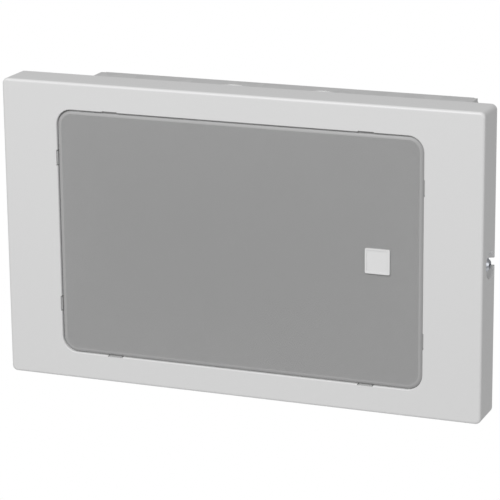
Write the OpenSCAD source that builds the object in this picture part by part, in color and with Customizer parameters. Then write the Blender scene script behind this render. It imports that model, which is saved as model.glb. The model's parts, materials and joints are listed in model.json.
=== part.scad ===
// Wall paging speaker: a moulded panel with a punched steel grille, a full-range driver,
// a line transformer and a folded steel back box.
// +Z is up and the front faces -Y. The origin is the centre of the back box's rear face,
// which lies against the wall.

/* [Panel] */
// Width of the moulded panel
panel_w = 310; // [296:1:330]
// Height of the moulded panel
panel_h = 190; // [184:1:210]
// Depth of the panel's side walls
panel_d = 25; // [24:0.5:32]
// Depth of the whole speaker, from the wall to the panel's face
total_d = 87; // [80:1:110]
// Wall of the moulding
panel_t = 3; // [2.4:0.1:3.6]
// Inner radius of the panel's four corners
panel_inner_r = 0.5; // [0.3:0.1:2]
// Rounding of the panel's front edge
edge_r = 1.8; // [0.8:0.1:2.2]
// Thickness of the ribs behind the panel
rib_t = 1.8; // [1.4:0.1:2.4]
// Height of the stiffening ribs behind the panel
rib_h = 11; // [6:0.5:16]
// Spacing of the ribs along the top and bottom edges
rib_pitch = 44; // [36:1:60]
// Height of the fence that centres the back box
fence_h = 5; // [3:0.5:6]
// Clearance between the fence and the back box
fence_gap = 0.8; // [0.4:0.1:1.2]

/* [Grille opening] */
// Width of the panel's face on each side of the opening
border_x = 36.5; // [34:0.5:44]
// Height of the panel's face above and below the opening
border_z = 17; // [15.5:0.5:24]
// Corner radius of the opening
opening_r = 10; // [8:0.5:16]
// Thickness of the lip round the opening
lip_t = 2.5; // [2:0.1:3]
// Rounding of the lip's front edge
lip_edge_r = 0.6; // [0.3:0.1:1]
// How far the baffle lies behind the panel's face
baffle_set = 6.5; // [6:0.5:9]
// Thickness of the baffle
baffle_t = 3; // [2.4:0.1:4]
// Length of the notches that the grille's tabs pass through
notch_l = 10; // [8:0.5:14]
// How far a notch cuts into the lip
notch_cut = 0.7; // [0.4:0.1:1.2]
// Distance of the upper and lower tabs from the opening's sides
tab_inset_x = 36; // [24:0.5:48]
// Distance of the side tabs from the opening's upper and lower edges
tab_inset_z = 31; // [23:0.5:43]

/* [Grille] */
// Thickness of the punched sheet
grille_t = 0.8; // [0.6:0.1:1]
// Gap between the grille and the lip
grille_gap = 0.5; // [0.4:0.1:1.2]
// How far the net lies behind the panel's face
grille_set = 1; // [0.8:0.1:1.5]
// Outer bend radius of the grille's rim
grille_bend = 3.2; // [1.4:0.1:3.4]
// Depth of the grille's bent rim
grille_rim = 4.6; // [3.4:0.1:5]
// Width of a grille tab
tab_w = 6.5; // [5:0.5:7.5]
// Length of a tab's clenched end
tab_clench = 4; // [3:0.5:5]
// Width across the corners of a punched hole
hole_d = 6.2; // [4:0.1:7]
// Pitch of the punched holes
hole_pitch = 9; // [8:0.1:14]
// Plain border between the holes and the bend
hole_border = 1.2; // [0.6:0.1:4]
// Thickness of the dust cloth behind the net
cloth_t = 0.5; // [0.3:0.1:0.8]
// Side of the square badge plate
badge_w = 15.5; // [12:0.5:20]
// Thickness of the badge plate
badge_t = 1; // [0.6:0.1:1.5]
// Width of the badge's raised border
badge_border = 1.1; // [0.6:0.1:2]
// Depth of the badge's field
badge_field = 0.3; // [0.2:0.1:0.4]
// Distance of the badge's middle from the grille's side
badge_inset = 28; // [22:0.5:48]

/* [Side screws] */
// Distance of the side screws behind the panel's face
side_screw_set = 15.5; // [14:0.5:16]
// Diameter of the dish round a side screw, at the surface
dish_d = 17; // [14:0.5:17.5]
// Diameter of the dish's floor
dish_floor_d = 14.5; // [11:0.5:15]
// Depth of the dish
dish_depth = 2.8; // [2.4:0.1:3.6]
// Width of the slot that hooks over the screw
slot_w = 4.8; // [4.5:0.1:5.5]
// Diameter of the side screws' thread
m4_d = 4; // [3.5:0.1:4.2]
// Diameter of the side screws' heads
m4_head_d = 8; // [7:0.1:8.5]
// Height of the side screws' heads
m4_head_h = 2.7; // [2.2:0.1:2.8]
// Length of the side screws under the head
m4_l = 10; // [8:0.5:14]
// Width of the brackets that take the side screws
bracket_w = 16; // [12:1:20]
// Sheet thickness of the brackets
bracket_t = 1.2; // [1:0.1:1.6]
// Length of a bracket's foot on the back box
bracket_foot = 20; // [14:1:26]
// Length of a bracket's tapped tab
bracket_tab = 11; // [9:0.5:12]

/* [Back box] */
// How far the back box reaches past the opening on each side
box_lap_x = 7.5; // [5.5:0.5:12]
// How far the back box reaches past the opening above and below
box_lap_z = 6.5; // [5.5:0.5:8]
// Sheet thickness of the back box
box_t = 1.2; // [1:0.1:1.6]
// Outer bend radius of the folded edges
box_bend = 2; // [1.8:0.1:3]
// Side of the relief notch in each rear corner
relief = 3; // [2:0.5:5]
// Thickness of the foam strip between the back box and the panel
seal_t = 2; // [1:0.5:3]
// Diameter of the conduit knock-outs
knock_d = 22; // [18:0.5:26]
// Distance between the two knock-outs
knock_spacing = 60; // [40:1:80]
// Distance of the knock-outs from the wall
knock_y = 23; // [18:0.5:30]
// How far a knock-out is pressed in
knock_set = 0.8; // [0.4:0.1:0.9]
// Horizontal spacing of the wall fixing holes
fix_w = 200; // [180:1:210]
// Vertical spacing of the wall fixing holes
fix_h = 120; // [100:1:130]
// Diameter of the wall fixing holes
fix_d = 5.5; // [4.5:0.1:6.5]
// Distance of the cable entry from the middle, to the left
entry_x = 62; // [50:1:68]
// Distance of the cable entry above the middle
entry_z = 50; // [40:1:56]
// Diameter of the cable entry's hole in the sheet
entry_d = 24; // [20:0.5:28]
// Diameter of the pressed-in seat round the cable entry
entry_seat_d = 38; // [34:0.5:42]
// Depth of the pressed-in seat
entry_seat = 2.2; // [2:0.1:3]
// Bore of the cable grommet
grommet_bore = 12; // [8:0.5:14]

/* [Driver] */
// Outer diameter of the driver's frame
driver_d = 124; // [122:1:130]
// Pitch circle of the driver's screws
driver_pcd = 114; // [113:0.5:116]
// Inner diameter of the frame's flange
flange_bore = 100; // [98:0.5:102]
// Sheet thickness of the frame
frame_t = 1.2; // [1:0.1:1.5]
// Depth from the flange to the spider's shelf
frame_depth = 20.5; // [18:0.5:24]
// Depth from the spider's shelf to the magnet's seat
frame_neck = 6; // [4.5:0.5:8]
// Inner diameter of the spider's shelf
shelf_bore = 56; // [54:0.5:58]
// Outer diameter of the spider's shelf
shelf_d = 67; // [65:0.5:70]
// Angle of each window in the frame
window_a = 65; // [40:1:66]
// Diameter of the baffle's hole
baffle_hole_d = 103; // [102:0.5:105]
// Thickness of the driver's foam gasket
gasket_t = 2; // [1.5:0.1:3]
// Inner diameter of the driver's foam gasket
gasket_bore = 107; // [106:0.5:108]
// Thickness of the paper cone
cone_t = 0.5; // [0.3:0.1:0.8]
// Width of the surround's roll
roll_w = 4.4; // [3.6:0.2:5]
// Thickness of the surround and the spider
skin_t = 0.4; // [0.3:0.05:0.5]
// Diameter of the dust cap
cap_d = 30; // [26:1:36]
// Height of the dust cap
cap_h = 4.5; // [3:0.5:6]
// Number of rolls in the spider
spider_rolls = 4; // [2:2:6]
// Outer diameter of the voice coil's former
former_d = 20.2; // [19:0.1:21]
// Wall of the former
former_t = 0.15; // [0.1:0.05:0.2]
// Thickness of the voice coil's winding
winding_t = 0.35; // [0.25:0.05:0.5]
// Length of the voice coil's winding
winding_l = 8; // [6:0.5:10]
// Clearance on each side of the voice coil
coil_gap = 0.3; // [0.2:0.05:0.5]
// Diameter of the magnet
magnet_d = 72; // [66:1:80]
// Bore of the magnet
magnet_bore = 32; // [28:1:36]
// Thickness of the magnet
magnet_t = 10; // [8:0.5:12]
// Diameter of the magnet's steel plates
plate_d = 66; // [60:1:68]
// Thickness of the magnet's steel plates
plate_t = 4; // [3:0.5:5]

/* [Transformer] */
// Distance of the transformer from the middle
trafo_x = 92; // [84:1:98]
// Width of the laminated core
core_w = 41; // [38:1:44]
// Height of the laminated core above the rear wall
core_h = 34; // [32:1:38]
// Thickness of the lamination stack
core_stack = 14; // [12:1:18]
// Width of the core's middle leg
core_leg = 13.6; // [12:0.2:15]
// Clearance of the bobbin in the core's windows
bobbin_gap = 0.3; // [0.2:0.05:0.5]
// Wall of the bobbin
bobbin_t = 0.9; // [0.7:0.1:1.2]
// Sheet thickness of the clamp
clamp_t = 1; // [0.8:0.1:1.4]
// Length of each foot of the clamp
clamp_foot = 11; // [9:0.5:14]

/* [Terminals and leads] */
// Distance of the terminal block from the middle
block_x = 92; // [84:1:98]
// Length of the terminal block
block_l = 46; // [42:1:52]
// Width of the terminal block
block_w = 18; // [16:1:22]
// Height of the terminal block's body
block_h = 14; // [12:0.5:17]
// Pitch of the two terminals
pole_pitch = 10; // [9:0.5:11]
// Outer diameter of an insulated lead
lead_d = 2; // [1.4:0.1:2.4]
// Diameter of the braided leads to the voice coil
tinsel_d = 1; // [0.6:0.1:1.2]
// Thickness of the felt pad behind the driver
pad_t = 6; // [4:0.5:8]
// Side of the square felt pad
pad_w = 84; // [60:1:84]

/* [Small screws] */
// Thread diameter of the driver's and the terminals' screws
m3_d = 3; // [2.5:0.1:3.2]
// Head diameter of these screws
m3_head_d = 5.6; // [5:0.1:6]
// Head height of these screws
m3_head_h = 2; // [1.6:0.1:2.4]

/* [Hidden] */
$fn = 48;

// Overlap that joins two volumes of one moulding, and the reach of a cut past its surface
weld = 0.4;
past = 1;
// Clearance of a thread in its tapped hole, and of a screw in a plain hole
thread_gap = 0.05;
screw_gap = 0.3;

panel_grey = "#d5d5d5";
steel_grey = "#b9babb";
zinc = "#c9ccd0";
brass = "#c9a24b";
black = "#2b2b2b";

// Planes behind the panel's face
y_face = -total_d;
y_plate = y_face + panel_t;
y_rim = y_face + panel_d;
y_baffle = y_face + baffle_set;
y_seat = y_baffle + baffle_t;
y_net = y_face + grille_set;
y_box = y_plate + seal_t;
y_screw = y_face + side_screw_set;
y_wall = -box_t;

// Panel, its opening and the back box behind it
corner_r = panel_inner_r + panel_t;
opening_w = panel_w - 2 * border_x;
opening_h = panel_h - 2 * border_z;
box_w = opening_w + 2 * box_lap_x;
box_h = opening_h + 2 * box_lap_z;
fence_w = box_w + 2 * fence_gap;
fence_hh = box_h + 2 * fence_gap;
inner_w = panel_w - 2 * panel_t;
inner_h = panel_h - 2 * panel_t;
dish_floor_x = panel_w / 2 - dish_depth;
boss_x = dish_floor_x - panel_t;
boss_d = dish_floor_d + 2 * panel_t;

// Grille
grille_w = opening_w - 2 * grille_gap;
grille_h = opening_h - 2 * grille_gap;
grille_r = opening_r - grille_gap;
field_w = grille_w - 2 * (grille_bend + hole_border);
field_h = grille_h - 2 * (grille_bend + hole_border);
tab_x = opening_w / 2 - tab_inset_x;
tab_z = opening_h / 2 - tab_inset_z;
badge_x = grille_w / 2 - badge_inset;
// Room left between the cloth's edge and the bent rim
cloth_gap = 0.5;

// Back box
inside_w = box_w - 2 * box_t;
inside_h = box_h - 2 * box_t;

// Driver, along its axis
y_flange = y_seat + gasket_t;
y_shelf = y_flange + frame_depth;
y_neck = y_shelf + frame_neck;
y_top_plate = y_neck + frame_t;
y_magnet = y_top_plate + plate_t;
y_yoke = y_magnet + magnet_t;
flange_r = driver_d / 2;
bore_r = flange_bore / 2;
former_r = former_d / 2;
coil_r = former_r + winding_t;
pole_r = former_r - former_t - coil_gap;
gap_r = coil_r + coil_gap;
roll_r = roll_w / 2;
roll_mid = bore_r - roll_r;
rim_r = roll_mid - roll_r;
rim_land = 2.2;
cone_neck_y = y_shelf - 4;
frame_bore_r = gap_r + 0.8;
pilot_gap = 0.1;
boss_front = 2.6;

// Tag board and its tags
board_w = 25;
board_t = 1.6;
board_reach = 12;
board_root = 3;
board_set = 9;
board_y = y_flange + board_set;
board_r = bore_r + frame_t - (bore_r - shelf_d / 2) * board_set / frame_depth;
tag_inset = 4;
tag_x = board_r + board_reach - tag_inset;
tag_z = 9;
tag_t = 0.6;
tag_w = 3;
tag_front = 4;
tag_rear = 5;

// Transformer: each window is half as wide as the middle leg
window_w = core_leg / 2;
window_h = core_h - 2 * window_w;
y_core = y_wall - core_h;
clamp_screw_z = core_w / 2 + clamp_t + clamp_foot / 2 - clamp_t / 2;
bobbin_l = window_h - 2 * bobbin_gap;
bobbin_z = core_leg / 2 + window_w - bobbin_gap;
bobbin_x = core_stack / 2 + window_w - bobbin_gap;
// Where the leads leave the winding
exit_y = 4;
exit_z = 6;

// Terminal block
base_h = 3;
block_screw_z = block_l / 2 - 4.5;
well_d = 5.2;
clamp_d = 4.4;

// A flat outline in X and Z, drawn from one plane to another along Y
module slab(y0, y1) translate([0, y1, 0]) rotate([90, 0, 0]) linear_extrude(y1 - y0) children();

// A profile of radius and Y, turned round the Y axis
module turned() rotate([-90, 0, 0]) rotate_extrude() children();

// A round bar along X
module bar_x(x0, x1, d, d_end) translate([x0, 0, 0]) rotate([0, 90, 0])
    cylinder(h = x1 - x0, d1 = d, d2 = is_undef(d_end) ? d : d_end);

// A round bar along Y
module bar_y(y0, y1, d, d_end) translate([0, y0, 0]) rotate([-90, 0, 0])
    cylinder(h = y1 - y0, d1 = d, d2 = is_undef(d_end) ? d : d_end);

module rounded_rect(w, h, r) {
    square([w - 2 * r, h], center = true);
    square([w, h - 2 * r], center = true);
    for (x = [-1, 1], z = [-1, 1]) translate([x * (w / 2 - r), z * (h / 2 - r)]) circle(r);
}

// A flat ring with a straight-sided or rounded outline
module rect_ring(w, h, r, t) difference() {
    rounded_rect(w, h, r);
    rounded_rect(w - 2 * t, h - 2 * t, max(r - t, 0.2));
}

// Carries a profile of distance from the corner's centre and Y round a rounded rectangle
module frame_sweep(w, h, r) rotate([-90, 0, 0]) for (i = [0 : 3]) {
    run = i % 2 == 0 ? [w / 2 - r, h / 2 - r] : [h / 2 - r, w / 2 - r];
    rotate([0, 0, 90 * i]) translate([run[0], run[1], 0]) {
        rotate_extrude(angle = 90) children();
        rotate([90, 0, 0]) linear_extrude(2 * run[1]) children();
    }
}

// What a quarter-round edge of radius r takes off a corner at the origin that points to -X and -Y
module edge_waste(r) difference() {
    translate([-past, -past]) square(r + past);
    translate([r, r]) circle(r);
}

// Copies to the left and the right, or to the four corners of a rectangle
module both_sides() for (s = [0, 1]) mirror([s, 0, 0]) children();
module at_corners(w, h) for (x = [-1, 1], z = [-1, 1]) translate([x * w / 2, 0, z * h / 2]) children();

// A pan-head screw whose shank points along +Z from the underside of its head
module pan_screw(d, length, head_d, head_h) {
    crown = head_h / 2;
    recess = head_d * 0.5;
    translate([0, 0, -head_h]) difference() {
        union() {
            cylinder(h = crown, d1 = head_d * 0.66, d2 = head_d);
            translate([0, 0, crown]) cylinder(h = head_h - crown, d = head_d);
            translate([0, 0, head_h - weld]) cylinder(h = length + weld, d = d);
        }
        for (a = [0, 90]) rotate([0, 0, a]) translate([-recess / 2, -head_d / 18, -past])
            cube([recess, head_d / 9, past + head_h * 0.55]);
    }
}

// A flexible wire: a round tube along a cubic curve with four control points
function bezier(c, s) = pow(1 - s, 3) * c[0] + 3 * s * pow(1 - s, 2) * c[1]
    + 3 * s * s * (1 - s) * c[2] + pow(s, 3) * c[3];
function bezier_way(c, s) = 3 * pow(1 - s, 2) * (c[1] - c[0]) + 6 * s * (1 - s) * (c[2] - c[1])
    + 3 * s * s * (c[3] - c[2]);
function unit(v) = v / norm(v);
module wire(c, d, rings = 14, sides = 8) {
    up = [0.12, 0.2, 1];
    loops = [for (i = [0 : rings - 1]) let (
            s = i / (rings - 1),
            way = unit(bezier_way(c, s)),
            u = unit(cross(way, up)),
            v = cross(way, u))
        [for (k = [0 : sides - 1]) bezier(c, s) + d / 2 * (cos(360 * k / sides) * u + sin(360 * k / sides) * v)]];
    last = (rings - 1) * sides;
    polyhedron(
        points = [for (loop = loops) each loop],
        faces = concat(
            [[for (k = [0 : sides - 1]) k]],
            [[for (k = [sides - 1 : -1 : 0]) last + k]],
            [for (i = [0 : rings - 2], k = [0 : sides - 1]) let (
                a = i * sides + k, b = i * sides + (k + 1) % sides) each [[a, a + sides, b], [b, a + sides, b + sides]]]));
}

// The panel: side walls with a rounded front edge, the face, the lip and the baffle
module wall_profile() translate([corner_r, 0]) difference() {
    translate([-panel_t, y_face]) square([panel_t, panel_d]);
    translate([0, y_face]) mirror([1, 0]) edge_waste(edge_r);
}

module lip_profile() translate([opening_r, 0]) difference() {
    translate([0, y_face]) square([lip_t, baffle_set + baffle_t]);
    translate([0, y_face]) edge_waste(lip_edge_r);
}

module panel_ribs() {
    count = floor((inner_w / 2 - 12) / rib_pitch);
    short = (inner_h - fence_hh) / 2 - rib_t;
    long = (inner_w - fence_w) / 2 - rib_t;
    for (i = [-count : count], z = [-1, 1])
        translate([i * rib_pitch - rib_t / 2, z > 0 ? fence_hh / 2 + rib_t - weld : -inner_h / 2 - weld])
            square([rib_t, short + 2 * weld]);
    for (z = [-1, 1], k = [0.36, 0.78], s = [-1, 1])
        translate([s > 0 ? fence_w / 2 + rib_t - weld : -inner_w / 2 - weld, z * k * inner_h / 2 - rib_t / 2])
            square([long + 2 * weld, rib_t]);
}

module tab_places() {
    for (s = [-1, 1]) {
        for (m = [0, 1]) mirror([0, m]) translate([s * tab_x, opening_h / 2]) children();
        for (m = [0, 1]) mirror([m, 0]) translate([opening_w / 2, s * tab_z]) rotate(-90) children();
    }
}

// The grille's notches run through the lip and the baffle, and leave room for its tabs
module tab_notches() {
    room = grille_gap + grille_t + 0.3;
    slab(y_face - past, y_seat + past) tab_places()
        translate([-notch_l / 2, -room]) square([notch_l, room + notch_cut]);
}

module front_bezel() color(panel_grey) difference() {
    union() {
        frame_sweep(panel_w, panel_h, corner_r) wall_profile();
        slab(y_face, y_plate) difference() {
            rounded_rect(inner_w + 2 * weld, inner_h + 2 * weld, panel_inner_r + weld);
            rounded_rect(opening_w + 2 * (lip_t - weld), opening_h + 2 * (lip_t - weld), opening_r + lip_t - weld);
        }
        frame_sweep(opening_w + 2 * lip_t, opening_h + 2 * lip_t, opening_r + lip_t) lip_profile();
        slab(y_baffle, y_seat) rounded_rect(opening_w + 2 * weld, opening_h + 2 * weld, opening_r + weld);
        slab(y_plate - weld, y_plate + fence_h) rect_ring(fence_w + 2 * rib_t, fence_hh + 2 * rib_t, 2, rib_t);
        slab(y_plate - weld, y_plate + rib_h) panel_ribs();
        at_driver_screws() bar_y(y_baffle - boss_front, y_baffle + weld, m3_d + 5);
        intersection() {
            both_sides() translate([0, y_screw, 0]) bar_x(boss_x, inner_w / 2 + weld, boss_d);
            translate([0, y_rim - panel_d / 2, 0]) cube([panel_w, panel_d, panel_h], center = true);
        }
    }
    bar_y(y_baffle - past, y_seat + past, baffle_hole_d);
    bar_y(y_baffle, y_baffle + 1.5, baffle_hole_d + 3, baffle_hole_d);
    at_driver_screws() bar_y(y_baffle - boss_front + 0.8, y_seat + past, m3_d + 2 * pilot_gap);
    tab_notches();
    both_sides() translate([0, y_screw, 0]) {
        bar_x(dish_floor_x, panel_w / 2, dish_floor_d, dish_d);
        bar_x(boss_x - past, panel_w / 2, slot_w);
        translate([boss_x - past, 0, -slot_w / 2]) cube([panel_w / 2 - boss_x + 2 * past, panel_d, slot_w]);
    }
}

// The grille: a punched sheet with a bent rim, held by eight clenched tabs
module pan_profile() translate([grille_r, y_net]) {
    bend = grille_bend;
    translate([-bend, bend]) intersection() {
        difference() {
            circle(bend);
            circle(bend - grille_t);
        }
        translate([0, -bend]) square(bend);
    }
    translate([-grille_t, bend]) square([grille_t, grille_rim - bend]);
    translate([-bend - weld, 0]) square([weld, grille_t]);
}

// True where a hole's centre lies inside the field, clear of its round corners and the badge
function in_field(x, z) = let (
        r = max(grille_r - grille_bend - hole_border, hole_d / 2),
        inset = hole_d / 2,
        dx = abs(x) - (field_w / 2 - r),
        dz = abs(z) - (field_h / 2 - r),
        off_badge = max(abs(x - badge_x), abs(z)) - badge_w / 2)
    abs(x) <= field_w / 2 - inset && abs(z) <= field_h / 2 - inset
        && (dx <= 0 || dz <= 0 || norm([dx, dz]) <= r - inset) && off_badge >= inset;

module punched_holes() {
    row_pitch = hole_pitch * sqrt(3) / 2;
    rows = ceil(field_h / 2 / row_pitch);
    columns = ceil(field_w / 2 / hole_pitch);
    for (j = [-rows : rows], i = [-columns : columns]) {
        x = (i + (j % 2 == 0 ? 0 : 0.5)) * hole_pitch;
        z = j * row_pitch;
        if (in_field(x, z)) translate([x, z]) rotate(30) circle(d = hole_d, $fn = 6);
    }
}

module grille() color("#9b9b9b") {
    frame_sweep(grille_w, grille_h, grille_r) pan_profile();
    slab(y_net, y_net + grille_t) difference() {
        rounded_rect(grille_w - 2 * grille_bend, grille_h - 2 * grille_bend, grille_r - grille_bend);
        punched_holes();
    }
    slab(y_net + grille_rim - weld, y_seat + grille_t) tab_places()
        translate([-tab_w / 2, -grille_gap - grille_t]) square([tab_w, grille_t]);
    slab(y_seat, y_seat + grille_t) tab_places()
        translate([-tab_w / 2, -grille_gap - tab_clench]) square([tab_w, tab_clench]);
}

module dust_cloth() color(black) slab(y_net + grille_t, y_net + grille_t + cloth_t)
    rounded_rect(grille_w - 2 * (grille_bend + cloth_gap), grille_h - 2 * (grille_bend + cloth_gap),
        grille_r - grille_bend);

module badge() color("#dcdcdc") translate([badge_x, 0, 0]) difference() {
    slab(y_net - badge_t, y_net) rounded_rect(badge_w, badge_w, 0.8);
    slab(y_net - badge_t - past, y_net - badge_t + badge_field)
        rounded_rect(badge_w - 2 * badge_border, badge_w - 2 * badge_border, 0.5);
}

// Foam strip on the back of the panel, under the back box's front edge
module box_seal() color(black) slab(y_plate, y_box) difference() {
    rounded_rect(box_w + fence_gap, box_h + fence_gap, 1.5);
    rounded_rect(opening_w + 2 * lip_t + fence_gap, opening_h + 2 * lip_t + fence_gap, opening_r + lip_t);
}

// The driver
module at_driver_screws() for (a = [45 : 90 : 315]) rotate([0, a, 0]) translate([driver_pcd / 2, 0, 0]) children();

module driver_gasket() color(black) difference() {
    bar_y(y_seat, y_flange, driver_d);
    bar_y(y_seat - past, y_flange + past, gasket_bore);
    at_driver_screws() bar_y(y_seat - past, y_flange + past, m3_d + 2 * screw_gap);
}

// Front and rear lines of the pressed frame, from the rim to the bore
function frame_line(shift) = [
    [flange_r, y_flange + shift], [bore_r + shift, y_flange + shift],
    [shelf_d / 2 + shift, y_shelf + shift], [shelf_bore / 2 + shift, y_shelf + shift],
    [shelf_bore / 2 + shift, y_neck + shift], [frame_bore_r, y_neck + shift]];

module driver_frame() color(steel_grey) difference() {
    turned() polygon(concat(frame_line(0), [for (i = [5 : -1 : 0]) frame_line(frame_t)[i]]));
    at_driver_screws() bar_y(y_flange - past, y_flange + frame_t + past, m3_d + 2 * screw_gap);
    frame_windows();
}

// Four windows between the frame's legs, cut square to the axis
module frame_windows() {
    y0 = y_flange + 4;
    y1 = y_shelf - 3;
    for (a = [45 : 90 : 315]) rotate([0, a - window_a / 2, 0]) rotate([-90, 0, 0]) translate([0, 0, y0])
        rotate_extrude(angle = window_a) translate([shelf_d / 2 - 6, 0]) square([24, y1 - y0]);
}

// The cone flares from its neck on the former to a flat rim
function cone_y(r) = let (k = (r - former_r) / (rim_r - former_r))
    cone_neck_y + (y_flange - cone_neck_y) * pow(k, 0.86);

module cone() color("#3a3a3c") turned() {
    steps = 10;
    radii = [for (i = [0 : steps]) former_r + (rim_r - former_r) * i / steps];
    polygon(concat(
        [for (r = radii) [r, cone_y(r)]], [[rim_r + rim_land, y_flange]], [[rim_r + rim_land, y_flange + cone_t]],
        [for (i = [steps : -1 : 0]) [radii[i], cone_y(radii[i]) + cone_t]]));
}

// A half roll of a thin skin; side is -1 for a roll to the front and 1 for one to the rear
module half_roll(x, y, r, side) translate([x, y]) intersection() {
    difference() {
        circle(r + skin_t / 2);
        circle(r - skin_t / 2);
    }
    translate([-r - past, side > 0 ? 0 : -r - past]) square([2 * (r + past), r + past]);
}

module surround() color(black) turned() {
    mid = y_flange - skin_t / 2;
    inner = rim_r + rim_land;
    r = (bore_r - inner) / 2;
    half_roll(inner + r, mid, r, -1);
    translate([rim_r, y_flange - skin_t]) square([rim_land, skin_t]);
    translate([bore_r, y_flange - skin_t]) square([(gasket_bore / 2 - bore_r) * 0.8, skin_t]);
}

module dust_cap() color(black) {
    r = cap_d / 2;
    ball_r = (r * r + cap_h * cap_h) / (2 * cap_h);
    base = cone_y(r);
    turned() intersection() {
        translate([0, base - cap_h + ball_r]) difference() {
            circle(ball_r);
            circle(ball_r - skin_t);
        }
        translate([0, base - cap_h - past]) square([r, cap_h + past]);
    }
}

module spider() color("#b98e4c") turned() {
    mid = y_shelf - skin_t / 2;
    land = 1.9;
    span = shelf_bore / 2 + 0.6 - former_r - land;
    r = span / spider_rolls / 2;
    for (i = [0 : spider_rolls - 1])
        half_roll(former_r + land + (2 * i + 1) * r, mid, r, i % 2 == 0 ? 1 : -1);
    translate([former_r, y_shelf - skin_t]) square([land, skin_t]);
    translate([shelf_bore / 2 + 0.6, y_shelf - skin_t]) square([shelf_d / 2 - shelf_bore / 2 - 1.6, skin_t]);
}

module voice_coil() color("#b5602d") turned() {
    middle = y_top_plate + plate_t / 2;
    translate([former_r - former_t, cone_neck_y - 2]) square([former_t, middle + winding_l / 2 - cone_neck_y + 2]);
    translate([former_r - former_t, middle - winding_l / 2]) square([former_t + winding_t, winding_l]);
}

module top_plate() color(zinc) turned() translate([gap_r, y_top_plate]) square([plate_d / 2 - gap_r, plate_t]);

module magnet() color("#3b3a3c") turned() difference() {
    translate([magnet_bore / 2, y_magnet]) square([(magnet_d - magnet_bore) / 2, magnet_t]);
    for (m = [0, 1]) translate([magnet_d / 2, y_magnet + m * magnet_t]) rotate(45) square(1.6, center = true);
}

module pole_yoke() color(zinc) difference() {
    union() {
        bar_y(y_yoke, y_yoke + plate_t, plate_d);
        bar_y(y_top_plate, y_yoke + weld, 2 * pole_r);
    }
    bar_y(y_top_plate - past, y_top_plate + 1.5, pole_r, 0.6 * pole_r);
}

// The tag board stands on one leg of the frame, towards the transformer
module tag_board() color("#8a5a36") difference() {
    translate([board_r - board_root, board_y, -board_w / 2]) cube([board_reach + board_root, board_t, board_w]);
    turned() polygon([[0, y_flange], [bore_r + frame_t, y_flange + frame_t],
        [shelf_d / 2 + frame_t, y_shelf + frame_t], [0, y_shelf + frame_t]]);
    for (s = [-1, 1]) translate([tag_x, board_y - past, s * tag_z - tag_w / 2])
        cube([tag_t, board_t + 2 * past, tag_w]);
}

module solder_tags() color(brass) for (s = [-1, 1])
    translate([tag_x, board_y - tag_front, s * tag_z - tag_w / 2])
        cube([tag_t, tag_front + board_t + tag_rear, tag_w]);

module tinsel_leads() color("#b8763c") for (s = [-1, 1]) {
    start_r = 26;
    lane_z = board_w / 2 + tinsel_d / 2 + 1;
    start = [start_r, cone_y(norm([start_r, lane_z])) + cone_t + tinsel_d * 0.7, s * lane_z];
    finish = [tag_x - tinsel_d / 2, board_y - tag_front * 0.65, s * tag_z];
    wire([start, start + [8, 3, 0], finish + [-4, 0, s * (lane_z - tag_z)], finish], tinsel_d);
}

module driver_screws() color(zinc) {
    grip = frame_t + gasket_t + baffle_t + 0.8;
    at_driver_screws() translate([0, y_flange + frame_t, 0]) rotate([90, 0, 0])
        pan_screw(m3_d, grip, m3_head_d, m3_head_h);
}

// The back box: a tray with bent edges, notched corners and pressed-in places
module tray_outline(w, d, r) {
    translate([-w / 2, -d]) square([w, d - r]);
    translate([-w / 2 + r, -d]) square([w - 2 * r, d]);
    for (s = [-1, 1]) translate([s * (w / 2 - r), -r]) circle(r);
}

module tray_block(w, h, d, r) intersection() {
    translate([0, 0, -h / 2]) linear_extrude(h) tray_outline(w, d, r);
    translate([w / 2, 0, 0]) rotate([0, -90, 0]) linear_extrude(w) tray_outline(h, d, r);
}

module at_knock_outs() for (s = [-1, 1]) translate([s * knock_spacing / 2, -knock_y, box_h / 2]) children();
module at_entry() translate([-entry_x, 0, entry_z]) children();
module at_clamp_screws() for (s = [-1, 1]) translate([trafo_x, 0, s * clamp_screw_z]) children();
module at_block_screws() for (s = [-1, 1]) translate([-block_x, 0, s * block_screw_z]) children();

module back_box() color(steel_grey) difference() {
    union() {
        difference() {
            tray_block(box_w, box_h, -y_box, box_bend);
            translate([0, y_wall, 0]) tray_block(inside_w, inside_h, total_d, box_bend - box_t);
        }
        at_knock_outs() translate([0, 0, -box_t - knock_set]) cylinder(h = knock_set + weld, d = knock_d);
        at_entry() bar_y(y_wall - entry_seat, y_wall + weld, entry_seat_d + 2 * box_t);
    }
    at_knock_outs() translate([0, 0, -knock_set]) cylinder(h = knock_set + past, d = knock_d);
    at_entry() {
        bar_y(-entry_seat, past, entry_seat_d);
        bar_y(y_wall - entry_seat - past, past, entry_d);
    }
    at_corners(box_w, box_h) rotate([0, 45, 0]) cube([relief * sqrt(2), 2 * relief, relief * sqrt(2)], center = true);
    at_corners(fix_w, fix_h) bar_y(y_wall - past, past, fix_d);
    at_clamp_screws() bar_y(y_wall - past, past, m3_d + 2 * thread_gap);
    at_block_screws() bar_y(y_wall - past, past, m3_d + 2 * thread_gap);
}

// Brackets welded to the back box's sides reach out to the panel's side screws
module screw_brackets() color(steel_grey) both_sides() difference() {
    tab_x0 = boss_x - bracket_t;
    y_web = y_screw + bracket_tab / 2 - bracket_tab;
    union() {
        translate([box_w / 2, y_web, -bracket_w / 2]) cube([boss_x - box_w / 2, bracket_t, bracket_w]);
        translate([tab_x0, y_web, -bracket_w / 2]) cube([bracket_t, bracket_tab, bracket_w]);
        translate([box_w / 2, y_web, -bracket_w / 2]) cube([bracket_t, bracket_foot, bracket_w]);
    }
    translate([0, y_screw, 0]) bar_x(tab_x0 - past, boss_x + past, m4_d + 2 * thread_gap);
}

module side_screws() color(zinc) both_sides() translate([dish_floor_x, y_screw, 0]) rotate([0, -90, 0])
    pan_screw(m4_d, m4_l, m4_head_d, m4_head_h);

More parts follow.
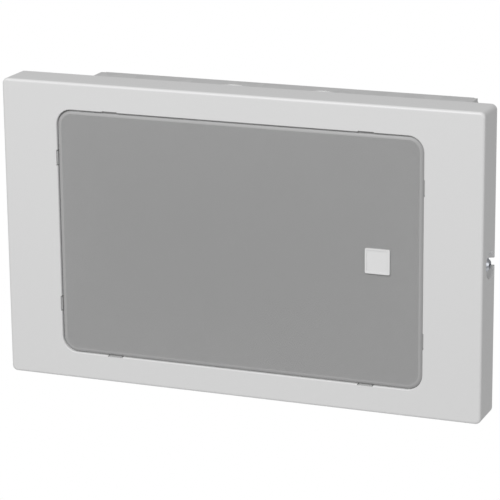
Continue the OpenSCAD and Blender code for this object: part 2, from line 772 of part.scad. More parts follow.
// A rubber grommet whose rear flange lies inside the pressed-in seat
module cable_grommet() color(black) at_entry() turned() {
    flange = entry_d / 2 + 4;
    polygon([
        [grommet_bore / 2, -0.3], [flange, -0.3], [flange, -entry_seat],
        [entry_d / 2, -entry_seat], [entry_d / 2, y_wall - entry_seat],
        [entry_d / 2 + 2.5, y_wall - entry_seat], [entry_d / 2 + 0.5, y_wall - entry_seat - 3],
        [grommet_bore / 2, y_wall - entry_seat - 3]]);
}

// The transformer stands on the rear wall with its laminations square to it
module along_x(w) translate([w / 2, 0, 0]) rotate([0, -90, 0]) linear_extrude(w) children();

module transformer_core() color("#6d6f72") translate([trafo_x, 0, 0]) along_x(core_stack) difference() {
    translate([-core_w / 2, y_core]) square([core_w, core_h]);
    for (s = [-1, 1]) translate([s * (core_leg + window_w) / 2 - window_w / 2, y_core + window_w])
        square([window_w, window_h]);
}

module transformer_bobbin() color("#e4dfc8") translate([trafo_x, 0, 0]) difference() {
    y0 = y_core + window_w + bobbin_gap;
    union() {
        for (y = [y0, y0 + bobbin_l - bobbin_t]) slab(y, y + bobbin_t)
            rounded_rect(2 * bobbin_x, 2 * bobbin_z, 1);
        slab(y0, y0 + bobbin_l) rounded_rect(
            core_stack + 2 * (bobbin_gap + bobbin_t), core_leg + 2 * (bobbin_gap + bobbin_t), 0.5);
    }
    slab(y0 - past, y0 + bobbin_l + past) square([core_stack + 2 * bobbin_gap, core_leg + 2 * bobbin_gap], center = true);
}

module transformer_winding() color("#b5602d") translate([trafo_x, 0, 0]) {
    y0 = y_core + window_w + bobbin_gap + bobbin_t;
    tube = bobbin_gap + bobbin_t;
    slab(y0, y0 + bobbin_l - 2 * bobbin_t) difference() {
        rounded_rect(2 * bobbin_x - 1, 2 * bobbin_z - 0.6, 3);
        rounded_rect(core_stack + 2 * tube, core_leg + 2 * tube, 0.5);
    }
}

module transformer_clamp() color(zinc) translate([trafo_x, 0, 0]) difference() {
    along_x(core_stack) {
        for (s = [-1, 1]) {
            translate([s > 0 ? core_w / 2 : -core_w / 2 - clamp_t, y_core - clamp_t]) square([clamp_t, core_h + clamp_t]);
            translate([s > 0 ? core_w / 2 : -core_w / 2 - clamp_foot, y_wall - clamp_t]) square([clamp_foot, clamp_t]);
        }
        translate([-core_w / 2 - clamp_t, y_core - clamp_t]) square([core_w + 2 * clamp_t, clamp_t]);
    }
    for (s = [-1, 1]) translate([0, 0, s * clamp_screw_z])
        bar_y(y_wall - clamp_t - past, y_wall + past, m3_d + 2 * screw_gap);
}

module transformer_screws() color(zinc) at_clamp_screws() translate([0, y_wall - clamp_t, 0])
    rotate([-90, 0, 0]) pan_screw(m3_d, clamp_t + box_t, m3_head_d, m3_head_h);

// The terminal block: a base with two screw holes and a body with two wells
module terminal_block() color("#e4dfc8") translate([-block_x, 0, 0]) difference() {
    union() {
        slab(y_wall - base_h, y_wall) rounded_rect(block_w, block_l, 1.5);
        slab(y_wall - block_h, y_wall - base_h + weld) rounded_rect(block_w, 2 * pole_pitch + 4, 1);
    }
    for (s = [-1, 1]) {
        translate([0, 0, s * pole_pitch / 2]) bar_y(y_wall - block_h - past, y_wall - 4, well_d);
        translate([0, y_wall - block_h / 2, s * pole_pitch / 2]) bar_x(-block_w, block_w, 3);
        translate([0, 0, s * block_screw_z]) bar_y(y_wall - block_h, y_wall + past, m3_d + 2 * screw_gap);
    }
}

module terminal_clamps() color(brass) for (s = [-1, 1])
    translate([-block_x, y_wall - 4 - m3_head_h - 5, s * pole_pitch / 2]) rotate([-90, 0, 0])
        translate([0, 0, m3_head_h]) pan_screw(m3_d, 5, clamp_d, m3_head_h);

module terminal_screws() color(zinc) at_block_screws() translate([0, y_wall - base_h, 0])
    rotate([-90, 0, 0]) pan_screw(m3_d, base_h + box_t, m3_head_d, m3_head_h);

// Two leads from the terminal block to the transformer, past the felt pad
module line_leads() color("#b33a2e") for (s = [-1, 1]) {
    y0 = y_wall - block_h / 2;
    start = [-block_x + block_w / 2 - 2, y0, s * pole_pitch / 2];
    finish = [trafo_x - bobbin_x - lead_d / 2, y_core + core_h / 2 + s * exit_y, -exit_z];
    wire([start, start + [36, 0, 0], finish + [-90, -4, -110 + s * 8], finish], lead_d, 20);
}

// Two leads from the transformer to the driver's solder tags
module driver_leads() color(black) for (s = [-1, 1]) {
    start = [trafo_x - bobbin_x - lead_d / 2, y_core + core_h / 2 + s * exit_y, exit_z];
    finish = [tag_x + tag_t + lead_d / 2, board_y + board_t + tag_rear * 0.6, s * tag_z];
    wire([start, start + [-8, -4, 22], finish + [10, 10, 16], finish], lead_d, 16);
}

module damping_pad() color("#8d8f86") slab(y_wall - pad_t, y_wall) rounded_rect(pad_w, pad_w, 3);

front_bezel();
grille();
dust_cloth();
badge();
box_seal();
driver_gasket();
driver_frame();
cone();
surround();
dust_cap();
spider();
voice_coil();
top_plate();
magnet();
pole_yoke();
tag_board();
solder_tags();
tinsel_leads();
driver_screws();
back_box();
screw_brackets();
side_screws();
cable_grommet();
transformer_core();
transformer_bobbin();
transformer_winding();
transformer_clamp();
transformer_screws();
terminal_block();
terminal_clamps();
terminal_screws();
line_leads();
driver_leads();
damping_pad();
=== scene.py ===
"""Wall paging speaker: a light grey moulded panel with a fine punched grille over a steel back box.

The frame is in metres: +Z up, the panel's face towards -Y, the wall at Y = 0.
"""

import json
import math

import bpy
from mathutils import Matrix, Vector


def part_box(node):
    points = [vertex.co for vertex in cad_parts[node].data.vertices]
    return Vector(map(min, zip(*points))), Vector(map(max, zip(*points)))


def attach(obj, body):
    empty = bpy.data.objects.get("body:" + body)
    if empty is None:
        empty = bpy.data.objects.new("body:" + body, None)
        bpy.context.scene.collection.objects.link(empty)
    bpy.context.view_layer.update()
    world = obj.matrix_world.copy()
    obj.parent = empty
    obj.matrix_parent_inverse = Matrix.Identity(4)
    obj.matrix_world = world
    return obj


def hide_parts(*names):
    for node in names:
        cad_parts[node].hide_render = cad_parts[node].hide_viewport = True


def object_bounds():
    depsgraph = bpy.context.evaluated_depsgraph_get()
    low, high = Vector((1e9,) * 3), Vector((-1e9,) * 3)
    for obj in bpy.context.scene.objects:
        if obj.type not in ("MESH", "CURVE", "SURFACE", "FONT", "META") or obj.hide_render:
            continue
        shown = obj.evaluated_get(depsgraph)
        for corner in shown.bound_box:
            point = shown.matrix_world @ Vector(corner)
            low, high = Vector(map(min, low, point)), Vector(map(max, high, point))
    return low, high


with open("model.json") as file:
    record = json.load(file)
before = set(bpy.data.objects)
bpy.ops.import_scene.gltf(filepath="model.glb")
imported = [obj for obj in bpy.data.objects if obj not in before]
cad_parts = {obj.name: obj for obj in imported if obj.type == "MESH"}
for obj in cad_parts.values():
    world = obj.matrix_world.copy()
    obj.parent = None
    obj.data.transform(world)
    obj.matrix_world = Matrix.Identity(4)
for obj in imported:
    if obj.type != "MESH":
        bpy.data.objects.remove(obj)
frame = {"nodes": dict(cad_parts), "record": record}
cad_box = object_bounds()

MM = 0.001

# Camera: where the photograph was taken from, as turns in degrees about the middle of the panel's
# face, and where that middle lies from the camera, in millimetres to its right, up and back
CAMERA_ELEVATION = 15.5
CAMERA_AZIMUTH = 21.54
CAMERA_ROLL = 0.56
CAMERA_OFFSET_MM = (-8.35, 1.03, -1515.5)
CAMERA_LENS_MM = 180.0

# The punched net: six-sided holes in staggered rows, and the bridges between them. The three sets
# of bridges lie NET_LAYER apart in depth, so that their faces don't coincide
NET_PITCH = 0.5 * MM
NET_BRIDGE = 0.21 * MM
NET_SHEET = 0.22 * MM
NET_LAYER = 0.012 * MM
# The length of a bridge's steps over the bend, the fewest there, and how finely its ends are found
NET_STEP = 0.9 * MM
LEAST_STEPS = 3
BRIDGE_SAMPLES = 160
END_HALVINGS = 16
# How far the holes run on over the bend, along the sheet, and where the plain rim takes over
NET_REACH = 0.5 * MM
RIM_START = 0.3 * MM

# The pan that the net is punched in: a slack bend, then a tight one into the straight flange
GRILLE_SHEET = 0.8 * MM
GRILLE_BEND = 4.5 * MM
SLACK_TURN = math.radians(35)
TIGHT_BEND = 1.0 * MM
GRILLE_RIM = 4.6 * MM
# How much closer to the panel's lip the pan comes than the node that it replaces
GRILLE_EXTRA = 0.35 * MM
GRILLE_CORNER = 9.5 * MM + GRILLE_EXTRA
BEND_RUN = GRILLE_BEND * math.sin(SLACK_TURN) + TIGHT_BEND * (1 - math.sin(SLACK_TURN))
FLAT_CORNER = GRILLE_CORNER - BEND_RUN
BEND_STEPS = 6
CORNER_STEPS = 14
# Edges of the rim that turn by more than this stay crisp under smooth shading
RIM_CREASE = math.radians(40)

# The cloth: how far its front lies behind the net's front, and how far it runs on over the bend
CLOTH_SET = 0.35 * MM
CLOTH_SHEET = 0.3 * MM
CLOTH_REACH = 1.2 * MM
CLOTH_STEPS = 3

# The tabs that hold the pan: how far they start behind its front and stand out into their notches,
# how far they are bent over, and their places along the long and the short sides from the middle
TAB_WIDTH = 8.6 * MM
TAB_FRONT = 0.1 * MM
TAB_OUT = 0.8 * MM
TAB_CLENCH = 3.5 * MM
TAB_X = 82.5 * MM
TAB_Z = 47.0 * MM

# A wave texture repeats every pi / 10 at scale 1. With a scale of 1 / width / RIDGE_FACTOR its
# ridges are about that wide, and so are the grooves between them
RIDGE_FACTOR = 6.3

# The floor's depth below the speaker and its side, in metres
FLOOR_DROP = 0.9
FLOOR_SIZE = 3.0
# The white surround, as the camera sees it and as it lights the speaker
SURROUND_SHOWN = 1.0
SURROUND_LIGHT = 0.316


def linear(code):
    """A hex sRGB colour as the linear RGBA that shaders take."""
    channels = [int(code[i:i + 2], 16) / 255 for i in (1, 3, 5)]
    return [c / 12.92 if c <= 0.04045 else ((c + 0.055) / 1.055) ** 2.4 for c in channels] + [1.0]


def add_node(tree, kind, settings=None, links=None):
    """Adds a node, sets its properties or input values by name, and links outputs to its inputs."""
    node = tree.nodes.new(kind)
    for name, value in (settings or {}).items():
        if name in node.inputs:
            node.inputs[name].default_value = value
        else:
            setattr(node, name, value)
    for name, output in (links or {}).items():
        tree.links.new(output, node.inputs[name])
    return node


def finish_of(name, colour, roughness, metallic=0.0, ior=None):
    """A material with its shader: its colour, roughness and the typical IOR of what it is made of."""
    made = bpy.data.materials.new(name)
    made.use_nodes = True
    shader = made.node_tree.nodes["Principled BSDF"]
    values = {"Base Color": linear(colour), "Roughness": roughness, "Metallic": metallic}
    if ior:
        values["IOR"] = ior
    for socket, value in values.items():
        shader.inputs[socket].default_value = value
    return made, made.node_tree, shader


def place(tree):
    """The point on the surface in the object's own metres."""
    return add_node(tree, "ShaderNodeTexCoord").outputs["Object"]


def grain(tree, size, detail=2.0, point=None):
    """Noise whose grains are about size metres across, at a point or else at the surface's own."""
    return add_node(tree, "ShaderNodeTexNoise", {"Scale": 1 / size, "Detail": detail},
                    {"Vector": point or place(tree)}).outputs["Fac"]


def ridges(tree, width, direction="X"):
    """Even ridges side by side, each about width metres wide, with grooves as wide between them."""
    return add_node(tree, "ShaderNodeTexWave",
                    {"Scale": 1 / width / RIDGE_FACTOR, "bands_direction": direction},
                    {"Vector": place(tree)}).outputs["Fac"]


def bump(tree, shader, height, depth, strength):
    """Raises the surface by up to depth metres where height is 1."""
    made = add_node(tree, "ShaderNodeBump", {"Strength": strength, "Distance": depth},
                    {"Height": height})
    tree.links.new(made.outputs["Normal"], shader.inputs["Normal"])


def vary_colour(tree, shader, factor, low, high, start=0.3, end=0.7):
    """Colours the surface from low to high as factor goes from start to end."""
    ramp = add_node(tree, "ShaderNodeValToRGB", links={"Fac": factor})
    for element, position, colour in zip(ramp.color_ramp.elements, (start, end), (low, high)):
        element.position = position
        element.color = linear(colour)
    tree.links.new(ramp.outputs["Color"], shader.inputs["Base Color"])


def vary_roughness(tree, shader, factor, low, high):
    """Takes the roughness from low to high with factor."""
    scaled = add_node(tree, "ShaderNodeMapRange", {"To Min": low, "To Max": high}, {"Value": factor})
    tree.links.new(scaled.outputs["Result"], shader.inputs["Roughness"])


def moulded_abs():
    """ABS from a spark-eroded mould: an even light grey with a fine satin pebble."""
    made, tree, shader = finish_of("moulded_abs", "#dadada", 0.42, ior=1.54)
    vary_roughness(tree, shader, grain(tree, 3 * MM), 0.39, 0.45)
    bump(tree, shader, grain(tree, 0.35 * MM, detail=3), depth=0.02 * MM, strength=0.5)
    return made


def baked_enamel():
    """Grey enamel baked on the punched steel: its tooth is half as deep as the panel's."""
    made, tree, shader = finish_of("baked_enamel", "#a9a9a9", 0.42, ior=1.5)
    vary_roughness(tree, shader, grain(tree, 2 * MM), 0.38, 0.46)
    bump(tree, shader, grain(tree, 0.5 * MM), depth=0.01 * MM, strength=0.4)
    return made


def satin_plate():
    """The badge: a plate sprayed a little lighter than the panel."""
    made, tree, shader = finish_of("satin_spray_plate", "#e0e0e0", 0.38, ior=1.5)
    vary_roughness(tree, shader, grain(tree, 2 * MM), 0.34, 0.42)
    bump(tree, shader, grain(tree, 0.3 * MM), depth=0.008 * MM, strength=0.4)
    return made


def zinc_coated_steel():
    """Sheet steel with a dull zinc coat: faint crystals and rolling marks along the sheet."""
    made, tree, shader = finish_of("zinc_coated_steel", "#d6d6d6", 0.5, metallic=0.3)
    point = place(tree)
    cells = add_node(tree, "ShaderNodeTexVoronoi", {"Scale": 1 / (7 * MM)}, {"Vector": point})
    vary_colour(tree, shader, cells.outputs["Color"], "#d1d1d1", "#dadada", start=0.1, end=0.9)
    mapping = add_node(tree, "ShaderNodeMapping", {"Scale": (0.03, 1, 1)}, {"Vector": point})
    rolled = mapping.outputs["Vector"]
    vary_roughness(tree, shader, grain(tree, 0.6 * MM, point=rolled), 0.42, 0.58)
    bump(tree, shader, grain(tree, 0.4 * MM, point=rolled), depth=0.006 * MM, strength=0.4)
    return made


def bright_zinc():
    """Zinc-plated steel of screws, plates and clamps: cool and bright, with soft reflections."""
    made, tree, shader = finish_of("bright_zinc_plate", "#c9ccd2", 0.3, metallic=1.0)
    vary_roughness(tree, shader, grain(tree, 1.5 * MM), 0.24, 0.38)
    bump(tree, shader, grain(tree, 0.25 * MM), depth=0.005 * MM, strength=0.4)
    return made


def speckled(name, colour, low, high, roughness, size, depth, ior=1.5, metallic=0.0):
    """A finish with a colour that varies in grains of one size, and a bump of the same grain."""
    made, tree, shader = finish_of(name, colour, roughness, metallic, ior)
    spread = grain(tree, size, detail=4)
    vary_colour(tree, shader, spread, low, high)
    bump(tree, shader, spread, depth, strength=0.6)
    return made


def dust_felt():
    """Thin non-woven cloth behind the net, near black."""
    return speckled("non_woven_cloth", "#1c1c1d", "#161617", "#242425", 0.95, 0.8 * MM, 0.1 * MM)


def closed_cell_foam():
    """Soft black foam strip with fine cells."""
    return speckled("closed_cell_foam", "#1a1a1a", "#141414", "#232323", 0.9, 0.6 * MM, 0.15 * MM)


def pressed_paper():
    """Black paper pulp of the cone, its cap and its surround, with short fibres."""
    return speckled("pressed_paper_pulp", "#232325", "#1b1b1d", "#2e2e30", 0.85, 1.2 * MM, 0.08 * MM)


def moulded_rubber():
    """Matt black rubber of the grommet, with a trace of bloom."""
    return speckled("moulded_rubber", "#1b1b1b", "#181818", "#262626", 0.7, 4 * MM, 0.02 * MM, ior=1.52)


def resin_cotton():
    """Open cotton weave stiffened with resin: the spider, its threads coarse enough to show."""
    made, tree, shader = finish_of("resin_cotton", "#a8792f", 0.8, ior=1.5)
    weave = ridges(tree, 0.9 * MM)
    vary_colour(tree, shader, weave, "#8d6223", "#bd8d40")
    bump(tree, shader, weave, depth=0.1 * MM, strength=0.5)
    return made


def enamelled_copper():
    """Wound copper wire under clear enamel, its turns a millimetre apart so that they show."""
    made, tree, shader = finish_of("enamelled_copper", "#b5602d", 0.3, metallic=1.0)
    bump(tree, shader, ridges(tree, 0.5 * MM, "Y"), depth=0.1 * MM, strength=0.6)
    return made


def laminated_core():
    """Varnished transformer laminations, drawn at twice their real half millimetre to show."""
    made, tree, shader = finish_of("laminated_core_steel", "#55575b", 0.45, metallic=0.6)
    bump(tree, shader, ridges(tree, 0.5 * MM), depth=0.08 * MM, strength=0.6)
    return made


def ground_ferrite():
    """The magnet's ceramic, ground flat and left bare: dark and dull."""
    return speckled("ground_ferrite", "#2c2c2f", "#262629", "#333336", 0.55, 1 * MM, 0.03 * MM)


def hard_paper():
    """The tag board: brown paper laminate with a slight sheen."""
    return speckled("hard_paper_board", "#8a5a36", "#7b4f2e", "#97653e", 0.5, 2 * MM, 0.02 * MM)


def tinned_brass():
    """Brass of tags and clamps, yellow and a little uneven."""
    return speckled("tinned_brass", "#c9a860", "#bf9c52", "#d2b36f", 0.3, 1 * MM, 0.01 * MM,
                    ior=None, metallic=1.0)


def copper_braid():
    """Tinsel leads: fine copper strands that glint apart."""
    return speckled("copper_braid", "#b8763c", "#9c6030", "#cf8a4a", 0.4, 0.3 * MM, 0.05 * MM,
                    ior=None, metallic=1.0)


def moulded_nylon():
    """Natural nylon of the transformer's bobbin: warm white and faintly cloudy."""
    return speckled("moulded_nylon", "#e0dac0", "#dad3b6", "#e6e1ca", 0.45, 3 * MM, 0.01 * MM,
                    ior=1.53)


def moulded_polyamide():
    """Natural polyamide of the terminal block, a little paler than the bobbin."""
    return speckled("moulded_polyamide", "#dedac8", "#d8d3be", "#e4e1d2", 0.45, 3 * MM, 0.01 * MM,
                    ior=1.53)


def red_insulation():
    """Soft red PVC skin of the line's wires, with a low gloss."""
    return speckled("pvc_insulation_red", "#a3281f", "#992219", "#ad3026", 0.4, 5 * MM, 0.01 * MM,
                    ior=1.53)


def black_insulation():
    """Soft black PVC skin of the driver's wires, with a low gloss."""
    return speckled("pvc_insulation_black", "#1e1e1e", "#191919", "#242424", 0.4, 5 * MM, 0.01 * MM,
                    ior=1.53)


def pressed_felt():
    """Pressed wool felt in mixed greys."""
    return speckled("pressed_wool_felt", "#7e8078", "#6a6c64", "#93958c", 0.95, 1.5 * MM, 0.3 * MM)


# The plated steel and the paper pulp are each shared by more than one material slot
ZINC_PLATE = bright_zinc()
PAPER_PULP = pressed_paper()

FINISHES = {
    "panel_abs": moulded_abs(),
    "grille_paint": baked_enamel(),
    "badge_paint": satin_plate(),
    "dust_cloth": dust_felt(),
    "foam": closed_cell_foam(),
    "frame_steel": ZINC_PLATE,
    "plated_steel": ZINC_PLATE,
    "cone_paper": PAPER_PULP,
    "surround_cloth": PAPER_PULP,
    "cap_paper": PAPER_PULP,
    "spider_cloth": resin_cotton(),
    "coil_copper": enamelled_copper(),
    "ferrite": ground_ferrite(),
    "tag_board": hard_paper(),
    "tag_brass": tinned_brass(),
    "tinsel": copper_braid(),
    "box_steel": zinc_coated_steel(),
    "rubber": moulded_rubber(),
    "core_steel": laminated_core(),
    "bobbin_nylon": moulded_nylon(),
    "block_nylon": moulded_polyamide(),
    "lead_red": red_insulation(),
    "lead_black": black_insulation(),
    "felt": pressed_felt(),
}


def dress_frame():
    """Gives every carried-over node the finish of its material slot."""
    for part in frame["record"]["subparts"]:
        mesh = frame["nodes"][part["node"]].data
        mesh.materials.clear()
        mesh.materials.append(FINISHES[part["material_slot"]])


def new_piece(name, points, faces, finish):
    """A mesh object that rides on the speaker's one body."""
    mesh = bpy.data.meshes.new(name)
    mesh.from_pydata(points, [], faces)
    mesh.materials.append(finish)
    mesh.validate()
    piece = bpy.data.objects.new(name, mesh)
    bpy.context.scene.collection.objects.link(piece)
    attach(piece, "root")
    return piece


def round_rect(width, height, radius, steps):
    """The outline of a rounded rectangle, anticlockwise seen from the front."""
    points = []
    for quarter, (sx, sz) in enumerate(((1, 1), (-1, 1), (-1, -1), (1, -1))):
        for step in range(steps + 1):
            angle = math.pi / 2 * (quarter + step / steps)
            points.append((sx * (width / 2 - radius) + radius * math.cos(angle),
                           sz * (height / 2 - radius) + radius * math.sin(angle)))
    return points


def bent(x, z, depth, low, high):
    """A point of the flat pattern, carried onto the pan: flat in the middle, bent back at the rim.

    Depth is counted from the sheet's front.
    """
    core_x = (high.x - low.x) / 2 - GRILLE_CORNER
    core_z = (high.z - low.z) / 2 - GRILLE_CORNER
    middle_x, middle_z = max(-core_x, min(core_x, x)), max(-core_z, min(core_z, z))
    away = math.hypot(x - middle_x, z - middle_z)
    over = away - FLAT_CORNER
    if over <= 0:
        return x, low.y + depth, z
    turn = over / GRILLE_BEND
    reach = FLAT_CORNER + (GRILLE_BEND - depth) * math.sin(turn)
    y = low.y + GRILLE_BEND - (GRILLE_BEND - depth) * math.cos(turn)
    return middle_x + (x - middle_x) / away * reach, y, middle_z + (z - middle_z) / away * reach


def overhang(x, z, low, high):
    """How far a point of the flat pattern lies outside the pan's flat middle."""
    over_x = max(0, abs(x) - (high.x - low.x) / 2 + GRILLE_CORNER)
    over_z = max(0, abs(z) - (high.z - low.z) / 2 + GRILLE_CORNER)
    return math.hypot(over_x, over_z) - FLAT_CORNER


def bridge_stations(start, way, length, low, high):
    """Where a bridge has its cross-sections: close together on the bend, none between on the flat."""
    def out(s):
        """How far the bridge at s lies outside the flat."""
        return overhang(start[0] + way[0] * s, start[1] + way[1] * s, low, high)

    def cross(s0, s1, level):
        """Where the bridge passes the level, between s0 outside it and s1 inside."""
        for _ in range(END_HALVINGS):
            half = (s0 + s1) / 2
            s0, s1 = (half, s1) if out(half) > level else (s0, half)
        return s1

    gap = length / BRIDGE_SAMPLES
    samples = [length * k / BRIDGE_SAMPLES for k in range(BRIDGE_SAMPLES + 1)]
    within = [s for s in samples if out(s) < NET_REACH]
    if len(within) < 2:
        return []
    first = cross(max(0, within[0] - gap), within[0], NET_REACH)
    last = cross(min(length, within[-1] + gap), within[-1], NET_REACH)
    flat = [s for s in within if out(s) < 0]
    if not flat:
        steps = max(2 * LEAST_STEPS, int((last - first) / NET_STEP))
        return [first + (last - first) * k / steps for k in range(steps + 1)]
    flat_first = cross(max(first, flat[0] - gap), flat[0], 0)
    flat_last = cross(min(last, flat[-1] + gap), flat[-1], 0)
    stations = []
    for s0, s1 in ((first, flat_first), (flat_last, last)):
        steps = max(LEAST_STEPS, int(abs(s1 - s0) / NET_STEP))
        stations += [s0 + (s1 - s0) * k / steps for k in range(steps + 1)]
    return stations


def net_bridges(turn, depth, low, high):
    """One of the net's three sets of parallel bridges: points and faces of bars between rows of holes."""
    row = NET_PITCH * math.sqrt(3) / 2
    way = (math.cos(turn), math.sin(turn))
    side = (-way[1], way[0])
    half_x, half_z = (high.x - low.x) / 2 + NET_REACH, (high.z - low.z) / 2 + NET_REACH
    far = abs(half_x * side[0]) + abs(half_z * side[1])
    length = 2 * (abs(half_x * way[0]) + abs(half_z * way[1]))
    points, faces = [], []
    for k in range(-int(far / row) - 1, int(far / row) + 1):
        offset = (k + 0.5) * row
        start = (side[0] * offset - way[0] * length / 2, side[1] * offset - way[1] * length / 2)
        stations = bridge_stations(start, way, length, low, high)
        base = len(points)
        for s in stations:
            for across, deep in ((-1, 0), (1, 0), (1, NET_SHEET), (-1, NET_SHEET)):
                x = start[0] + way[0] * s + side[0] * across * NET_BRIDGE / 2
                z = start[1] + way[1] * s + side[1] * across * NET_BRIDGE / 2
                points.append(bent(x, z, depth + deep, low, high))
        for n in range(len(stations) - 1):
            a = base + 4 * n
            faces += [(a + q, a + (q + 1) % 4, a + 4 + (q + 1) % 4, a + 4 + q) for q in range(4)]
        if stations:
            end = base + 4 * (len(stations) - 1)
            faces += [(base + 3, base + 2, base + 1, base), (end, end + 1, end + 2, end + 3)]
    return points, faces


def punched_net(low, high):
    """The net of six-sided holes, as the three sets of bridges that are left between them."""
    pieces = []
    for number in range(3):
        points, faces = net_bridges(math.pi / 3 * number, NET_LAYER * number, low, high)
        pieces.append(new_piece(f"grille_net_{number + 1}", points, faces, FINISHES["grille_paint"]))
    return pieces


def dust_skin(low, high):
    """The cloth right behind the net, bent back with it."""
    steps = [CLOTH_REACH * k / CLOTH_STEPS for k in range(CLOTH_STEPS + 1)]
    width, height = high.x - low.x - 2 * BEND_RUN, high.z - low.z - 2 * BEND_RUN
    points, faces = [], []
    for depth in (CLOTH_SET, CLOTH_SET + CLOTH_SHEET):
        for over in steps:
            points += [bent(x, z, depth, low, high) for x, z in
                       round_rect(width + 2 * over, height + 2 * over, FLAT_CORNER + over, CORNER_STEPS)]
    along = len(points) // (2 * len(steps))
    back = along * len(steps)
    for k in range(along):
        after = (k + 1) % along
        for n in range(len(steps) - 1):
            a, b = n * along, (n + 1) * along
            faces.append((a + k, b + k, b + after, a + after))
            faces.append((back + a + k, back + a + after, back + b + after, back + b + k))
        edge = along * (len(steps) - 1)
        faces.append((edge + k, back + edge + k, back + edge + after, edge + after))
    faces.append(tuple(range(along)))
    faces.append(tuple(back + k for k in reversed(range(along))))
    return new_piece("dust_cloth_skin", points, faces, FINISHES["dust_cloth"])


def swept_round(name, profile, width, height, radius, finish):
    """Carries a closed profile of (inset, depth) points round a rounded rectangle."""
    rings = [round_rect(width - 2 * inset, height - 2 * inset, radius - inset, CORNER_STEPS)
             for inset, _ in profile]
    across, along = len(profile), len(rings[0])
    points = [(rings[p][k][0], profile[p][1], rings[p][k][1])
              for k in range(along) for p in range(across)]
    faces = []
    for k in range(along):
        after = (k + 1) % along
        for p in range(across):
            q = (p + 1) % across
            faces.append((k * across + p, after * across + p, after * across + q, k * across + q))
    return new_piece(name, points, faces, finish)


def bend_line(inward, low):
    """The bend's profile as (inset, depth) points, for a skin that lies inward of the outer face."""
    first = RIM_START / GRILLE_BEND
    slack = [first + (SLACK_TURN - first) * k / BEND_STEPS for k in range(BEND_STEPS)]
    tight = [SLACK_TURN + (math.pi / 2 - SLACK_TURN) * k / BEND_STEPS for k in range(BEND_STEPS + 1)]
    drop = (GRILLE_BEND - TIGHT_BEND) * (1 - math.cos(SLACK_TURN))
    line = [(BEND_RUN - (GRILLE_BEND - inward) * math.sin(t),
             low.y + GRILLE_BEND - (GRILLE_BEND - inward) * math.cos(t)) for t in slack]
    return line + [(TIGHT_BEND - (TIGHT_BEND - inward) * math.sin(t),
                    low.y + drop + TIGHT_BEND - (TIGHT_BEND - inward) * math.cos(t)) for t in tight]


def bent_rim(low, high):
    """The pan's plain rim: the sheet turned back through its bends, with the straight flange."""
    edge = low.y + GRILLE_RIM
    profile = bend_line(0, low) + [(0, edge), (GRILLE_SHEET, edge)] + bend_line(GRILLE_SHEET, low)[::-1]
    rim = swept_round("grille_rim", profile, high.x - low.x, high.z - low.z, GRILLE_CORNER,
                      FINISHES["grille_paint"])
    rim.data.shade_smooth()
    rim.data.set_sharp_from_angle(angle=RIM_CREASE)
    return rim


def clenched_tab(number, centre, inward, low, high):
    """A tab that runs back through its notch, outside the flange, and is bent over behind the baffle."""
    along = Vector((-inward.z, 0, inward.x))
    half = along * TAB_WIDTH / 2
    y_front, y_back = low.y + TAB_FRONT, high.y
    section = [(-TAB_OUT, y_front), (-TAB_OUT, y_back), (TAB_CLENCH, y_back),
               (TAB_CLENCH, y_back - GRILLE_SHEET), (0, y_back - GRILLE_SHEET), (0, y_front)]
    points = []
    for side in (-1, 1):
        for inset, y in section:
            points.append(centre + inward * inset + half * side + Vector((0, y, 0)))
    count = len(section)
    faces = [tuple(range(count)), tuple(range(2 * count - 1, count - 1, -1))]
    faces += [(k, k + count, (k + 1) % count + count, (k + 1) % count) for k in range(count)]
    return new_piece(f"grille_tab_{number}", points, faces, FINISHES["grille_paint"])


def clenched_tabs(low, high):
    """Eight tabs: two on each side of the grille."""
    edge_x, edge_z = (high.x - low.x) / 2, (high.z - low.z) / 2
    signs = [(s, m) for s in (-1, 1) for m in (-1, 1)]
    places = [(Vector((s * TAB_X, 0, m * edge_z)), Vector((0, 0, -m))) for s, m in signs]
    places += [(Vector((m * edge_x, 0, s * TAB_Z)), Vector((-m, 0, 0))) for s, m in signs]
    return [clenched_tab(number, centre, inward, low, high)
            for number, (centre, inward) in enumerate(places, 1)]


def make_grille():
    """The fine punched pan and its cloth in place of the coarser ones."""
    low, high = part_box("grille")
    extra = Vector((GRILLE_EXTRA, 0, GRILLE_EXTRA))
    low, high = low - extra, high + extra
    cloth = dust_skin(low, high)
    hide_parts("dust_cloth")
    for piece in [*punched_net(low, high), bent_rim(low, high), *clenched_tabs(low, high)]:
        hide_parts("grille")


def aim_camera():
    """Puts the camera at the photograph's place and angle."""
    turn = (Matrix.Rotation(math.radians(CAMERA_ROLL), 3, "Z")
            @ Matrix.Rotation(math.radians(CAMERA_ELEVATION), 3, "X")
            @ Matrix.Rotation(math.radians(-CAMERA_AZIMUTH), 3, "Y"))
    to_view = turn @ Matrix(((1, 0, 0), (0, 0, 1), (0, -1, 0)))
    face_middle = Vector((0, cad_box[0].y, 0))
    offset = Vector(CAMERA_OFFSET_MM) * MM
    data = bpy.data.cameras.new("camera")
    data.lens = CAMERA_LENS_MM
    camera = bpy.data.objects.new("camera", data)
    camera.rotation_mode = "QUATERNION"
    camera.rotation_quaternion = to_view.transposed().to_quaternion()
    camera.location = face_middle - to_view.transposed() @ offset
    bpy.context.scene.collection.objects.link(camera)
    bpy.context.scene.camera = camera


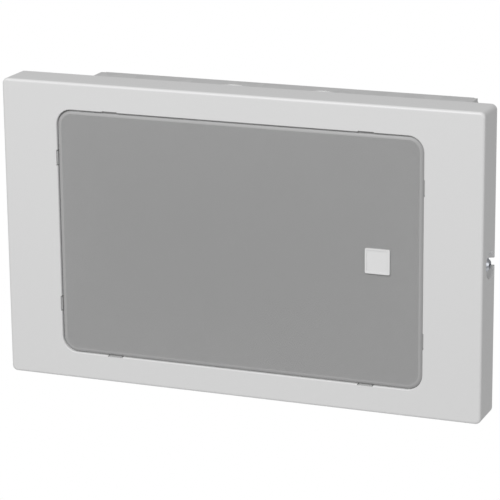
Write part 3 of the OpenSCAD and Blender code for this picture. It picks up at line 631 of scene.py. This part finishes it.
def area_light(name, azimuth, elevation, distance, size, watts):
    """A square soft light that looks at the speaker from an azimuth and elevation in degrees."""
    a, e = math.radians(azimuth), math.radians(elevation)
    back = Vector((math.sin(a) * math.cos(e), -math.cos(a) * math.cos(e), math.sin(e)))
    data = bpy.data.lights.new(name, "AREA")
    data.size, data.energy = size, watts
    light = bpy.data.objects.new(name, data)
    light.visible_camera = False
    light.location = back * distance
    light.rotation_euler = (-back).to_track_quat("-Z", "Y").to_euler()
    bpy.context.scene.collection.objects.link(light)


def light_scene():
    """Soft studio light: a high broad key, a low fill from the right and one low behind.

    The surround shows plain white, and lights the speaker more weakly than that.
    """
    area_light("key", azimuth=-10, elevation=42, distance=2.2, size=1.2, watts=35.4)
    area_light("fill", azimuth=70, elevation=10, distance=2.2, size=1.4, watts=8.1)
    area_light("rear", azimuth=195, elevation=-14, distance=2.2, size=0.7, watts=14)
    world = bpy.data.worlds.new("white_surround")
    world.use_nodes = True
    tree = world.node_tree
    white = linear("#ffffff")
    shown = add_node(tree, "ShaderNodeBackground", {"Color": white, "Strength": SURROUND_SHOWN})
    lit = add_node(tree, "ShaderNodeBackground", {"Color": white, "Strength": SURROUND_LIGHT})
    path = add_node(tree, "ShaderNodeLightPath")
    mixed = add_node(tree, "ShaderNodeMixShader",
                     links={0: path.outputs["Is Camera Ray"], 1: lit.outputs[0], 2: shown.outputs[0]})
    tree.links.new(mixed.outputs[0], tree.nodes["World Output"].inputs["Surface"])
    bpy.context.scene.world = world
    bpy.context.scene.view_settings.view_transform = "Standard"


def pale_floor():
    """A wide white floor well below the speaker, which hangs on a wall."""
    half, z = FLOOR_SIZE / 2, cad_box[0].z - FLOOR_DROP
    matt_white = finish_of("matt_white_floor", "#ffffff", 0.9)[0]
    corners = [(-half, -half, z), (half, -half, z), (half, half, z), (-half, half, z)]
    mesh = bpy.data.meshes.new("floor")
    mesh.from_pydata(corners, [], [(0, 1, 2, 3)])
    mesh.materials.append(matt_white)
    floor = bpy.data.objects.new("floor", mesh)
    bpy.context.scene.collection.objects.link(floor)


aim_camera()
dress_frame()
make_grille()
light_scene()
pale_floor()
